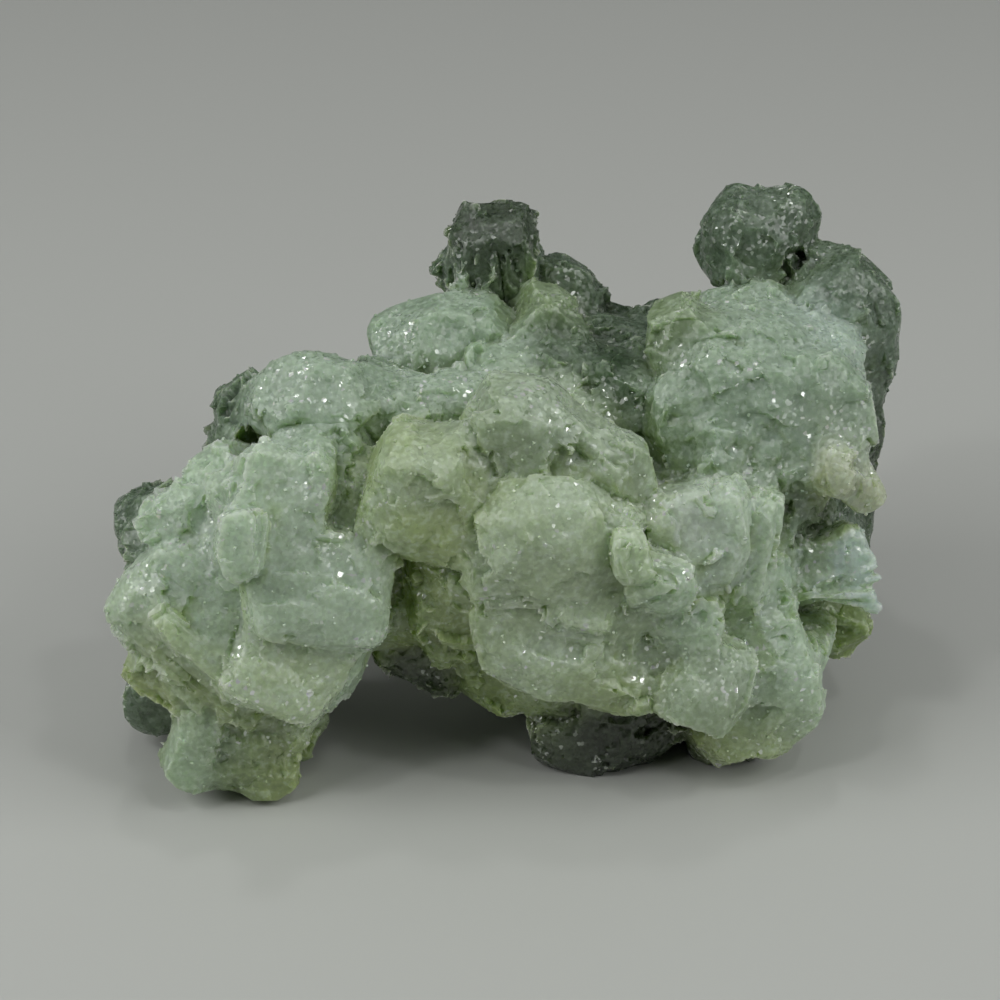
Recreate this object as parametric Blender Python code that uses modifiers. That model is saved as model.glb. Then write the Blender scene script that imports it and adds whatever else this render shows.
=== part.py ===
"""Prehnite cluster, one grown-together mass that stands on its own feet.

X runs across the front, Y runs back and Z is up. The origin is on the resting plane, under the
middle of the cluster. The lumps below are in millimetres and degrees, and the scene is in metres.
"""

import math
import random
from collections import namedtuple

import bmesh
import bpy
from mathutils import Euler, Matrix, Vector, noise

MM = 0.001

# Driving dimensions, in millimetres
CLUSTER_SHIFT = Vector((-1.3, -4.52, 0.0))
GRAIN_OF_FUSING = 0.45
UNEVENNESS = 0.07
UNEVENNESS_SPACING = 7.0
FLOOR_CUTTER = Vector((200.0, 200.0, 20.0))
MOST_TRIANGLES = 9400
BALL_STEPS = 4

# A crystal's width, thickness and length, as shares of the lump's crystal size
CRYSTAL_SHAPE = Vector((1.25, 0.85, 1.7))
CRYSTAL_SPREAD = 1.0
CRYSTAL_SKIN = 0.55
CRYSTAL_TILT = 10.0

PREHNITE_GREEN = (0.36, 0.47, 0.27, 1.0)
PREHNITE_ROUGHNESS = 0.38

# A lump is a rounded or squarish mass: its middle, half sizes, turn about X, Y and Z, squareness
# (2 is an ellipsoid and 6 nearly a block), how much it flares along its own X, and crystal size.
Lump = namedtuple("Lump", "name at half turn square flare crystal", defaults=((0, 0, 0), 2.4, 0.0, 2.6))

LEFT_LOBE = (
    Lump("lobe heart", (-22, -4, 16), (7.5, 8, 10)),
    Lump("lobe top plate", (-18.0, -8.2, 26.6), (4.9, 3.6, 5.9), (-28, 22, 6), 3.2),
    Lump("lobe top shoulder", (-21.2, -7.6, 28.0), (3.0, 3.0, 2.8), (-20, -18, 0), 2.8),
    Lump("lobe right fan", (-14.8, -10.2, 20.6), (6.2, 3.6, 5.2), (-25, 14, 12), 2.8),
    Lump("lobe lower fan", (-17.8, -11.6, 14.2), (5.4, 3.8, 5.4), (-22, 30, 8), 2.8),
    Lump("lobe left plate", (-26.8, -8.6, 18.4), (4.8, 4.0, 5.4), (-25, 35, -12), 2.6),
    Lump("lobe diagonal ledge", (-23.6, -11.2, 14.2), (6.2, 3.0, 2.4), (-25, 48, -4), 3.4),
    Lump("lobe lower ledge", (-25.8, -10.6, 12.0), (5.6, 2.8, 2.0), (-25, 46, -6), 3.6),
    Lump("lobe corner wedge", (-27.8, -9.4, 11.8), (3.6, 3.0, 3.0), (-20, 25, -15), 3.4),
    Lump("lobe barrel", (-20.6, -13.8, 27.4), (1.9, 1.8, 3.0), (-28, 4, 0), 4.0, 0.0, 1.6),
    Lump("lobe left knob", (-26.2, -5.2, 23.6), (3.6, 3.2, 3.6), (-20, -25, 0), 2.8),
    Lump("lobe left high knob", (-23.6, -2.2, 26.0), (3.2, 3.2, 3.2), (-10, -30, 0), 2.6),
    Lump("lobe rear left", (-28.6, 0.5, 18.0), (3.8, 4.6, 4.8), (0, -20, 10), 2.6),
    Lump("lobe low left", (-29.6, -3.5, 4.8), (3.1, 3.6, 3.2), (0, 10, 0), 2.8, 0.0, 1.9),
    Lump("lobe right flank", (-15.6, -8.4, 11.6), (4.0, 4.0, 5.8), (-10, 32, 0), 2.6),
    Lump("lobe rear", (-22.5, 5.0, 13.5), (6.2, 5.4, 7.6), (10, 0, 0), 2.6, 0.0, 2.8),
    Lump("lobe rear high", (-20.5, 6.0, 21.5), (5.0, 4.6, 5.4), (20, 0, 0), 2.6, 0.0, 2.6),
)

LEFT_FOOT = (
    Lump("foot middle", (-22.6, -10.2, 4.4), (4.9, 4.2, 4.6), (-8, 6, 0), 2.5, 0.0, 2.0),
    Lump("foot prism", (-25.2, -12.2, 6.8), (2.2, 2.2, 4.4), (-14, 10, -10), 4.2, 0.0, 1.6),
    Lump("foot glitter", (-27.4, -11.0, 4.8), (1.4, 1.8, 2.5), (-10, 16, 0), 3.6, 0.0, 1.4),
    Lump("foot front right", (-20.2, -11.0, 2.8), (2.9, 2.8, 3.0), (0, -24, 0), 2.6, 0.0, 2.0),
    Lump("foot upper right", (-18.6, -10.2, 6.4), (3.0, 3.0, 3.0), (-10, -24, 0), 2.8, 0.0, 2.0),
    Lump("foot clear chip", (-17.0, -6.6, 3.4), (1.7, 2.4, 2.2), (0, 30, 0), 4.0, 0.0, 1.6),
    Lump("foot rear", (-24.6, 2.0, 4.6), (4.6, 4.6, 5.4), (0, 0, 20), 2.6, 0.0, 2.6),
)

RIDGE = (
    Lump("ridge dome", (-14.8, 1.6, 31.2), (5.6, 4.8, 4.0), (-8, 6, 0), 2.3),
    Lump("ridge shoulder", (-18.8, 1.2, 30.8), (2.6, 3.2, 3.0), (0, -24, 0), 2.5),
    Lump("ridge neck", (-7.6, 3.0, 28.8), (5.8, 4.6, 4.0), (-5, 14, 0), 2.6),
    Lump("ridge slope", (-14.8, -2.2, 27.6), (4.6, 4.0, 4.2), (-15, 0, 0), 2.6),
    Lump("ridge block", (-15.0, -5.4, 30.6), (1.9, 1.6, 1.5), (-24, 10, 18), 5.0, 0.0, 1.4),
    Lump("ridge hollow side", (-11.4, -1.8, 23.6), (4.6, 4.4, 5.2), (-10, 0, 0), 2.8),
    Lump("ridge barrel", (-21.8, 4.8, 26.8), (2.5, 3.4, 4.2), (0, 14, 0), 3.0, 0.0, 1.8),
    Lump("ridge nub", (-3.6, 4.0, 29.6), (3.4, 3.6, 3.0), (-5, 0, 0), 2.6),
    Lump("ridge rear", (-13.0, 6.4, 26.8), (6.6, 4.6, 5.6), (20, 6, 0), 2.6, 0.0, 2.8),
)

CENTRE = (
    Lump("centre heart", (2.5, 2.0, 20.0), (9, 10, 12)),
    Lump("centre left knob", (-5.7, -6.0, 27.8), (5.4, 4.8, 5.4), (-10, 12, 0), 2.4),
    Lump("centre left crown", (-3.8, -5.4, 31.0), (3.8, 3.6, 2.7), (-10, -6, 0), 2.4),
    Lump("centre left chin", (-4.8, -8.0, 24.8), (3.8, 3.6, 3.0), (-10, 8, 0), 2.7),
    Lump("centre top knob", (2.4, -3.4, 31.2), (5.2, 5.0, 4.4), (-8, 18, 0), 2.3),
    Lump("centre top right", (8.2, -4.2, 28.4), (4.2, 4.2, 4.0), (-8, 34, 0), 2.5),
    Lump("centre front knob", (3.6, -9.4, 25.0), (6.2, 5.0, 5.6), (-14, 0, 0), 2.4),
    Lump("centre low knob", (6.6, -9.4, 14.4), (6.8, 5.0, 5.6), (-8, 10, 0), 2.6),
    Lump("centre low lip", (9.4, -9.8, 11.2), (4.4, 3.6, 3.0), (0, 16, 0), 3.0),
    Lump("centre side slope", (10.4, -7.6, 19.6), (4.6, 4.6, 5.2), (-10, 10, 0), 2.5),
    Lump("centre pillar", (10.8, -12.2, 24.9), (1.5, 1.5, 2.4), (-28, -10, 0), 2.8, 0.0, 1.2),
    Lump("centre under left", (-2.0, -4.6, 18.4), (5.6, 5.4, 6.4), (0, 0, 0), 2.6),
)

BRIDGE = (
    Lump("bridge body", (-9.0, -1.0, 16.4), (7.4, 5.6, 6.2), (-8, 6, 0), 2.6, 0.0, 2.0),
    Lump("bridge upper knob", (-4.4, -8.0, 17.2), (3.1, 2.8, 3.0), (-10, 0, 0), 2.6, 0.0, 1.8),
    Lump("bridge lower knob", (-4.4, -7.2, 13.4), (2.8, 2.8, 2.4), (0, 0, 0), 2.6, 0.0, 1.8),
    Lump("bridge dark knob", (-7.6, -3.8, 10.0), (3.6, 3.2, 3.0), (0, 12, 0), 2.8, 0.0, 1.6),
    Lump("bridge hanging knob", (-4.6, -4.6, 8.2), (2.6, 2.6, 2.8), (0, 0, 0), 2.8, 0.0, 1.6),
    Lump("bridge low right", (-0.6, -5.6, 10.2), (4.0, 3.8, 4.4), (0, -20, 0), 2.6, 0.0, 1.8),
    Lump("bridge tooth", (-0.4, -7.2, 8.2), (1.8, 1.8, 2.8), (0, -14, 0), 3.4, 0.0, 1.4),
    Lump("bridge low lip", (3.4, -7.0, 8.6), (3.2, 3.0, 3.0), (0, 24, 0), 2.8, 0.0, 1.6),
)

RIGHT_LOW = (
    Lump("right column", (15.6, -6.4, 23.0), (4.0, 3.8, 4.6), (-16, 0, 6), 3.0),
    Lump("right column rib", (18.6, -6.8, 23.6), (1.9, 3.2, 4.8), (-16, 6, 0), 3.2),
    Lump("right column edge", (21.2, -5.0, 21.4), (1.8, 3.0, 5.6), (-14, 8, 0), 3.4),
    Lump("right glitter knob", (13.4, -10.8, 21.2), (2.8, 2.6, 2.6), (-10, 12, 0), 2.8, 0.0, 1.4),
    Lump("right middle knob", (15.4, -9.4, 16.4), (3.2, 2.9, 2.9), (-10, 0, 0), 2.6, 0.0, 1.6),
    Lump("right slope", (19.6, -3.6, 15.4), (5.4, 5.0, 6.2), (0, 10, 0), 2.6),
    Lump("right low knob", (22.6, -6.6, 8.6), (5.2, 4.8, 6.0), (-5, -14, 0), 2.6),
    Lump("right low crown", (22.8, -6.6, 13.6), (3.0, 2.8, 3.0), (-10, 0, 0), 2.8, 0.0, 1.8),
    Lump("right low plate", (17.2, -11.4, 11.6), (3.9, 2.7, 4.2), (-22, 30, 10), 3.2, 0.0, 1.8),
    Lump("right low chin", (21.0, -8.2, 4.8), (4.8, 3.8, 3.2), (0, -12, 0), 2.6),
    Lump("right pale tip", (26.4, -2.6, 9.2), (2.3, 2.8, 3.0), (0, 24, 0), 3.4, 0.0, 1.6),
    Lump("right inner chip", (15.4, -5.8, 5.0), (2.4, 2.8, 2.8), (0, 0, 0), 2.8, 0.0, 1.6),
)

RIGHT_HIGH = (
    Lump("face block", (22.4, 3.4, 28.4), (7.6, 5.2, 6.8), (-26, 4, 6), 3.4),
    Lump("face left", (16.8, 2.6, 27.4), (4.2, 4.6, 5.6), (-18, -8, -10), 2.8),
    Lump("face low plate", (19.6, -0.6, 25.2), (4.2, 3.4, 2.6), (-18, 12, 0), 3.2),
    Lump("face corner", (28.6, 3.4, 29.0), (3.0, 3.8, 4.4), (-20, 0, 10), 3.6, 0.0, 1.8),
    Lump("face chip left", (27.6, -0.6, 26.0), (1.8, 1.8, 2.6), (-15, 16, 0), 4.6, 0.0, 1.4),
    Lump("face chip right", (29.6, -0.4, 23.9), (2.1, 1.8, 2.6), (-15, -28, 10), 4.6, 0.0, 1.4),
    Lump("ridge of right side", (15.8, 8.0, 33.2), (2.8, 3.8, 4.6), (0, -8, 0), 3.0, 0.0, 1.8),
    Lump("saddle", (21.2, 11.0, 33.0), (5.2, 4.6, 3.2), (0, 0, 0), 2.8, 0.0, 1.8),
    Lump("saddle patch", (22.0, 6.6, 34.4), (4.6, 3.2, 2.4), (-10, 6, 0), 3.0, 0.0, 1.4),
    Lump("grey shoulder", (26.8, 8.6, 31.6), (4.4, 4.4, 3.8), (0, 20, 0), 3.0, 0.0, 1.8),
    Lump("top ball", (21.6, 19.0, 37.2), (4.3, 4.3, 4.3), (0, 20, 0), 2.5, 0.0, 2.6),
    Lump("top ball right", (25.0, 20.4, 38.6), (3.2, 3.4, 3.0), (0, 16, 0), 2.5, 0.0, 2.4),
    Lump("grey mass", (29.2, 15.0, 32.0), (5.2, 5.8, 5.8), (0, 36, 0), 2.6, 0.0, 2.4),
    Lump("grey mass low", (31.2, 13.8, 28.4), (4.0, 4.8, 4.2), (0, 12, 0), 2.6, 0.0, 2.2),
    Lump("dark edge", (31.6, 12.0, 22.6), (2.6, 4.2, 4.4), (0, 6, 0), 2.8, 0.0, 2.0),
    Lump("dark edge low", (30.4, 9.6, 16.8), (3.2, 4.4, 4.0), (0, 6, 0), 2.8, 0.0, 2.0),
    Lump("dark recess", (26.2, 6.4, 20.4), (5.6, 4.6, 6.8), (0, 0, 0), 3.0),
    Lump("right rear low", (29.6, 6.0, 13.4), (3.4, 4.4, 4.0), (0, 10, 0), 2.8, 0.0, 2.2),
)

SHEAF = (
    Lump("sheaf top", (28.0, -0.4, 15.4), (4.6, 3.0, 1.9), (-20, -12, 8), 3.0, 0.30, 1.2),
    Lump("sheaf middle", (28.2, -0.8, 13.4), (4.9, 3.0, 1.5), (-20, -20, 8), 3.4, 0.35, 1.2),
    Lump("sheaf bottom", (27.6, -0.4, 11.8), (4.6, 3.0, 1.3), (-20, -26, 8), 3.4, 0.30, 1.2),
    Lump("sheaf spur", (30.2, -0.8, 16.6), (1.6, 1.8, 2.0), (-15, 20, 0), 4.0, 0.0, 1.2),
    Lump("brown chip", (29.0, 2.4, 8.4), (2.8, 3.4, 3.4), (0, 16, 0), 3.4, 0.0, 1.8),
)

BACK = (
    Lump("back finger", (-0.6, 21.2, 32.6), (4.5, 4.3, 5.4), (0, -4, 0), 2.8, 0.0, 2.2),
    Lump("back finger rim", (-0.2, 21.2, 37.3), (3.9, 3.6, 1.5), (0, 2, 0), 3.2, 0.0, 1.6),
    Lump("back finger low", (-0.6, 18.6, 27.0), (4.0, 4.6, 5.0), (0, 0, 0), 2.8, 0.0, 2.2),
    Lump("back slope high", (5.6, 21.6, 30.0), (3.8, 4.0, 3.8), (0, 34, 0), 2.6, 0.0, 2.2),
    Lump("back slope low", (10.6, 20.8, 26.0), (3.6, 3.8, 3.0), (0, 26, 0), 2.6, 0.0, 2.2),
    Lump("spangled knob", (-6.4, 13.0, 30.0), (4.8, 4.4, 4.0), (-10, -16, 0), 2.6, 0.0, 2.4),
    Lump("spangled knob right", (-3.0, 13.6, 31.0), (3.6, 3.6, 3.4), (0, 0, 0), 2.6, 0.0, 2.2),
    Lump("pale wedge", (3.8, 14.0, 31.4), (3.0, 3.4, 3.4), (-10, 35, 0), 4.0, 0.0, 1.8),
    Lump("pale link", (0.6, 9.0, 29.8), (3.6, 3.8, 3.0), (0, 0, 0), 2.6),
    Lump("dark hollow mass", (9.6, 7.4, 27.4), (5.8, 5.6, 5.0), (-10, 12, 0), 2.6, 0.0, 2.4),
    Lump("dark hollow crown", (5.6, 9.4, 30.6), (3.4, 3.6, 2.6), (0, 10, 0), 2.8, 0.0, 2.0),
    Lump("dark hollow right", (13.0, 10.0, 27.6), (4.2, 4.4, 4.2), (0, 20, 0), 2.8, 0.0, 2.4),
)

REAR = (
    Lump("right heart", (19.0, 4.0, 17.0), (10.0, 9.0, 13.0)),
    Lump("rear heart", (9.0, 14.0, 22.0), (10.0, 9.0, 9.0), crystal=2.8),
    Lump("rear right heart", (24.0, 12.0, 22.0), (9.0, 9.0, 12.0), crystal=2.8),
    Lump("rear low knob", (14.0, 20.0, 18.0), (5.6, 5.0, 5.6), (10, 0, 0), 2.6, 0.0, 2.8),
    Lump("rear left knob", (3.0, 20.0, 21.0), (5.0, 5.0, 5.0), (10, 0, 0), 2.6, 0.0, 2.8),
    Lump("rear face knob", (21.5, 20.5, 23.0), (5.4, 5.0, 6.0), (10, 10, 0), 2.8, 0.0, 2.8),
    Lump("rear right knob", (28.0, 18.0, 21.0), (4.8, 5.0, 5.6), (0, 0, 0), 2.8, 0.0, 2.6),
    Lump("rear high knob", (14.5, 18.0, 26.4), (4.8, 4.6, 4.0), (0, 0, 0), 2.8, 0.0, 2.6),
    Lump("under heart", (17.0, 6.5, 8.6), (11.0, 8.5, 6.6), (4, 4, 0), 2.6, 0.0, 2.6),
    Lump("under rear knob", (18.0, 15.0, 9.6), (5.6, 4.4, 6.2), (10, 0, 0), 2.5, 0.0, 2.6),
    Lump("rear foot", (12.0, 15.4, 6.0), (5.6, 5.0, 7.4), (8, 6, 0), 2.6, 0.0, 2.6),
    Lump("rear foot knob", (8.0, 17.6, 12.0), (4.6, 4.2, 5.0), (0, 0, 0), 2.6, 0.0, 2.4),
    Lump("rear right foot", (24.4, 10.6, 5.6), (5.2, 5.0, 6.6), (0, -10, 0), 2.6, 0.0, 2.4),
    Lump("rear right foot knob", (28.0, 12.2, 12.0), (4.4, 4.6, 5.2), (0, 0, 0), 2.6, 0.0, 2.4),
)

MIDDLE_FEET = (
    Lump("middle foot", (8.4, -5.6, 3.6), (6.0, 4.6, 5.2), (0, -4, 0), 2.8, 0.0, 1.8),
    Lump("middle foot side", (12.4, -5.0, 4.0), (3.2, 3.6, 3.8), (0, 0, 0), 2.8, 0.0, 1.6),
    Lump("right foot", (20.0, -5.4, 2.2), (3.9, 3.6, 3.2), (0, 0, 0), 2.6, 0.0, 1.8),
)

LUMPS = (
    LEFT_LOBE + LEFT_FOOT + RIDGE + CENTRE + BRIDGE + RIGHT_LOW + RIGHT_HIGH + SHEAF + BACK + REAR + MIDDLE_FEET
)


def clear_scene():
    """Removes the objects that a new file starts with."""
    for obj in list(bpy.data.objects):
        bpy.data.objects.remove(obj, do_unlink=True)


def new_collection(name):
    collection = bpy.data.collections.new(name)
    bpy.context.scene.collection.children.link(collection)
    return collection


def turn_of(lump):
    """The lump's turn as a matrix."""
    return Euler([math.radians(angle) for angle in lump.turn]).to_matrix()


def surface_point(lump, direction, depth=0.0):
    """Where a ray from the lump's middle leaves its rounded block, in the lump's own axes."""
    reach = sum(abs(part) ** lump.square for part in direction) ** (-1 / lump.square)
    point = Vector([part * reach * (half - depth) for part, half in zip(direction, lump.half)])
    flaring = 1 + lump.flare * point.x / lump.half[0]
    return Vector((point.x, point.y * flaring, point.z * flaring))


def surface_normal(lump, point):
    """The rounded block's outward direction at a point of its surface, in its own axes."""
    slope = [
        math.copysign(abs(part / half) ** (lump.square - 1) / half, part)
        for part, half in zip(point, lump.half)
    ]
    return Vector(slope).normalized()


def spread_directions(count):
    """Directions spread evenly over a ball, along a spiral from pole to pole."""
    for step in range(count):
        height = 1 - (2 * step + 1) / count
        across = math.sqrt(1 - height * height)
        angle = step * math.pi * (3 - math.sqrt(5))
        yield Vector((across * math.cos(angle), height, across * math.sin(angle)))


def add_lump(bm, lump):
    """A ball pulled out to a rounded block, with low waves in its surface."""
    turn = turn_of(lump)
    middle = Vector(lump.at)
    for vert in bmesh.ops.create_icosphere(bm, subdivisions=BALL_STEPS, radius=1.0)["verts"]:
        point = turn @ surface_point(lump, vert.co.normalized(), CRYSTAL_SKIN)
        wave = noise.noise((middle + point) / UNEVENNESS_SPACING)
        vert.co = middle + point * (1 + UNEVENNESS * wave)


def add_crystals(bm, lump):
    """Tabular crystals that stand a little proud all over a lump, roughly square to it."""
    draw = random.Random(lump.name)
    turn = turn_of(lump)
    across, back, up = lump.half
    area = 4 * math.pi * (across * back + across * up + back * up) / 3
    count = int(CRYSTAL_SPREAD * area / (lump.crystal * lump.crystal))
    for direction in spread_directions(count):
        stray = Vector([draw.uniform(-0.12, 0.12) for _ in range(3)])
        point = surface_point(lump, (direction + stray).normalized())
        outward = surface_normal(lump, point)
        size = CRYSTAL_SHAPE * lump.crystal * draw.uniform(0.7, 1.25)
        seat = point - outward * (size.z / 2 + CRYSTAL_SKIN * draw.uniform(-0.5, 0.7))
        lean = Euler([math.radians(draw.uniform(-CRYSTAL_TILT, CRYSTAL_TILT)) for _ in range(3)])
        frame = outward.to_track_quat("Z", "Y").to_matrix() @ lean.to_matrix()
        place = Matrix.Translation(Vector(lump.at) + turn @ seat) @ (turn @ frame).to_4x4()
        corners = bmesh.ops.create_cube(bm, size=1.0)["verts"]
        bmesh.ops.scale(bm, vec=size, verts=corners)
        bmesh.ops.transform(bm, matrix=place, verts=corners)


def heaped_lumps():
    """Every lump and its crystals in one mesh, still overlapping, in metres and in their final place."""
    heap = bmesh.new()
    mesh = bpy.data.meshes.new("heaped_lumps")
    for lump in LUMPS:
        bm = bmesh.new()
        add_lump(bm, lump)
        add_crystals(bm, lump)
        bm.to_mesh(mesh)
        bm.free()
        heap.from_mesh(mesh)
    bmesh.ops.translate(heap, vec=CLUSTER_SHIFT, verts=heap.verts)
    bmesh.ops.scale(heap, vec=Vector((MM, MM, MM)), verts=heap.verts)
    heap.to_mesh(mesh)
    heap.free()
    return mesh


def evaluated_mesh(obj):
    graph = bpy.context.evaluated_depsgraph_get()
    return bpy.data.meshes.new_from_object(obj.evaluated_get(graph))


def largest_shell(bm):
    """Keeps the outer skin, and drops closed pockets inside it and loose specks."""
    waiting = set(bm.verts)
    shells = []
    while waiting:
        shell = [waiting.pop()]
        for vert in shell:
            near = {edge.other_vert(vert) for edge in vert.link_edges} & waiting
            waiting -= near
            shell.extend(near)
        shells.append(shell)
    shells.sort(key=len)
    for shell in shells[:-1]:
        bmesh.ops.delete(bm, geom=shell, context="VERTS")


def fused_mesh(heap):
    """The heap fused to one closed skin of small quads."""
    obj = bpy.data.objects.new("heap", heap)
    bpy.context.scene.collection.objects.link(obj)
    fuse = obj.modifiers.new("Fuse", "REMESH")
    fuse.mode = "VOXEL"
    fuse.voxel_size = GRAIN_OF_FUSING * MM
    mesh = evaluated_mesh(obj)
    bpy.data.objects.remove(obj, do_unlink=True)
    bm = bmesh.new()
    bm.from_mesh(mesh)
    largest_shell(bm)
    bmesh.ops.triangulate(bm, faces=bm.faces)
    bm.to_mesh(mesh)
    bm.free()
    return mesh


def prehnite_material():
    material = bpy.data.materials.new("prehnite")
    material.use_nodes = True
    shader = material.node_tree.nodes["Principled BSDF"]
    shader.inputs["Base Color"].default_value = PREHNITE_GREEN
    shader.inputs["Roughness"].default_value = PREHNITE_ROUGHNESS
    shader.inputs["Metallic"].default_value = 0.0
    return material


def floor_cutter(collection):
    """A block below the resting plane, which takes the feet off flat."""
    bm = bmesh.new()
    bmesh.ops.create_cube(bm, size=1.0)
    bmesh.ops.translate(bm, vec=Vector((0, 0, -0.5)), verts=bm.verts)
    bmesh.ops.scale(bm, vec=FLOOR_CUTTER * MM, verts=bm.verts)
    mesh = bpy.data.meshes.new("resting_plane_cutter")
    bm.to_mesh(mesh)
    bm.free()
    cutter = bpy.data.objects.new("resting_plane_cutter", mesh)
    collection.objects.link(cutter)
    cutter.hide_render = True
    cutter.display_type = "WIRE"
    return cutter


def build_cluster():
    """The whole specimen: fused lumps, fewer faces, and feet cut flat where they rest."""
    mesh = fused_mesh(heaped_lumps())
    mesh.name = "prehnite_cluster"
    cluster = bpy.data.objects.new("prehnite_cluster", mesh)
    new_collection("Prehnite cluster").objects.link(cluster)
    mesh.materials.append(prehnite_material())

    flatten = cluster.modifiers.new("Crystal faces", "DECIMATE")
    flatten.ratio = min(1.0, MOST_TRIANGLES / len(mesh.polygons))

    rest = cluster.modifiers.new("Resting feet", "BOOLEAN")
    rest.operation = "DIFFERENCE"
    rest.solver = "EXACT"
    rest.object = floor_cutter(new_collection("Cutters"))
    return cluster


def main():
    clear_scene()
    build_cluster()


main()
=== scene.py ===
"""Dresses a prehnite cluster: cloudy green knobs of grown-together crystals, frosted and glinting.

Run as a script. X runs across the front, Y runs back and Z is up. The table of lumps is in
millimetres and degrees, as in the cluster's own source, and the scene is in metres.
"""

import math
import random
from collections import namedtuple

import bmesh
import bpy
import numpy as np
from mathutils import Euler, Matrix, Vector, noise
from mathutils.bvhtree import BVHTree
from mathutils.kdtree import KDTree


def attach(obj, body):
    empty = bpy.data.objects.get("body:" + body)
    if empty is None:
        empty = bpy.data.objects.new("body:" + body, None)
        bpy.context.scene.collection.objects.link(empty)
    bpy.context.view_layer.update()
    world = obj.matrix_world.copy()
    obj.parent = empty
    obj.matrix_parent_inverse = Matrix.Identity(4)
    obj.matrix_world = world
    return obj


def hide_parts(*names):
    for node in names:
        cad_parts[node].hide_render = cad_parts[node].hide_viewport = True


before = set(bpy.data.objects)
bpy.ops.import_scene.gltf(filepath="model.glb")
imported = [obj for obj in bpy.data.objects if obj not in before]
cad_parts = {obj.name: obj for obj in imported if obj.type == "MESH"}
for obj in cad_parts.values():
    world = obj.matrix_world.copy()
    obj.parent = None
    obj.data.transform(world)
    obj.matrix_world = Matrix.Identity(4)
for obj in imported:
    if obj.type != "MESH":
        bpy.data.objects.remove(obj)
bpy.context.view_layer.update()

bl_info = {
    "name": "Prehnite cluster",
    "version": (1, 0, 0),
    "blender": (4, 5, 0),
    "location": "3D View > Sidebar > Prehnite",
    "description": "Builds a cluster of green prehnite crystals with its frost, glints and studio",
    "category": "Add Mesh",
}

MM = 0.001
NODE = "prehnite_cluster"
# From where the table of lumps has its middle to the cluster's own, in millimetres
CLUSTER_SHIFT = Vector((-1.3, -4.52, 0.0))

# Low waves in each lump's surface, as a share of its size, and their spacing in millimetres
UNEVENNESS = 0.13
UNEVENNESS_SPACING = 6.0
BALL_STEPS = 4

# The crystals on a lump: their sides beside the lump's crystal size, how close they grow, how far they
# can stand proud in millimetres, how far they lean and spin in degrees, and the ranges of their draws
CRYSTAL_SHAPE = Vector((1.25, 0.85, 1.7))
CRYSTAL_SPREAD = 1.0
CRYSTAL_SKIN = 0.55
CRYSTAL_TILT = 10.0
CRYSTAL_SPIN = 30.0
CRYSTAL_STRAY = 0.12
CRYSTAL_SIZES = (0.7, 1.25)
CRYSTAL_SINK = (-0.5, 0.7)
# A tone that is no prouder than this grows no crystals
LEAST_PROUD = 0.1

# A lump is a rounded or squarish mass: its middle, half sizes, turn about X, Y and Z, squareness
# (2 is an ellipsoid and 6 nearly a block), crystal size, and how much it flares along its own X.
Lump = namedtuple("Lump", "name at half turn square crystal flare", defaults=((0, 0, 0), 2.4, 2.6, 0.0))

LEFT_LOBE = (
    Lump("lobe heart", (-22, -4, 16), (7.5, 8, 10)),
    Lump("lobe top plate", (-18.7, -8.2, 26.6), (4.4, 3.7, 5.9), (-28, 22, 6), 4.6),
    Lump("lobe top shoulder", (-21.2, -7.6, 28.0), (3.0, 3.0, 2.8), (-20, -18, 0), 2.8),
    Lump("lobe right fan", (-14.8, -10.2, 20.6), (6.2, 3.7, 5.2), (-25, 14, 12), 4.0),
    Lump("lobe lower fan", (-17.8, -11.6, 14.2), (5.4, 3.9, 5.4), (-22, 30, 8), 3.8),
    Lump("lobe face", (-22.2, -9.9, 16.8), (4.6, 3.4, 5.2), (-25, 30, 0), 3.6),
    Lump("lobe left plate", (-26.8, -8.6, 18.4), (4.8, 4.0, 5.4), (-25, 35, -12), 3.4),
    Lump("lobe diagonal ledge", (-24.3, -11.8, 14.6), (6.6, 3.2, 1.5), (-25, 48, -4), 6.0),
    Lump("lobe lower ledge", (-25.6, -11.0, 12.2), (5.8, 3.0, 1.4), (-25, 46, -6), 6.0),
    Lump("lobe under ledge", (-23.6, -11.2, 11.4), (4.8, 2.8, 1.4), (-25, 50, -4), 6.0),
    Lump("lobe corner wedge", (-27.8, -9.6, 11.6), (3.6, 3.0, 2.8), (-20, 28, -15), 5.0),
    Lump("lobe barrel", (-20.6, -13.8, 27.4), (1.9, 1.8, 3.0), (-28, 4, 0), 4.0, 1.6),
    Lump("lobe left knob", (-26.2, -5.2, 23.6), (3.6, 3.2, 3.6), (-20, -25, 0), 2.8),
    Lump("lobe left high knob", (-23.4, -2.4, 25.8), (3.2, 3.2, 3.2), (-10, -30, 0), 2.6),
    Lump("lobe rear left", (-28.6, 0.5, 18.0), (3.8, 4.6, 4.8), (0, -20, 10), 2.6),
    Lump("lobe low left", (-29.6, -3.5, 4.8), (3.1, 3.6, 3.2), (0, 10, 0), 2.8, 1.9),
    Lump("lobe right flank", (-15.6, -8.4, 11.6), (4.0, 4.0, 5.8), (-10, 32, 0), 2.6),
    Lump("lobe rear", (-22.5, 5.0, 13.5), (6.2, 5.4, 7.6), (10, 0, 0), 2.6, 2.8),
    Lump("lobe rear high", (-20.5, 6.0, 21.5), (5.0, 4.6, 5.4), (20, 0, 0), 2.6, 2.6),
)

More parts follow.
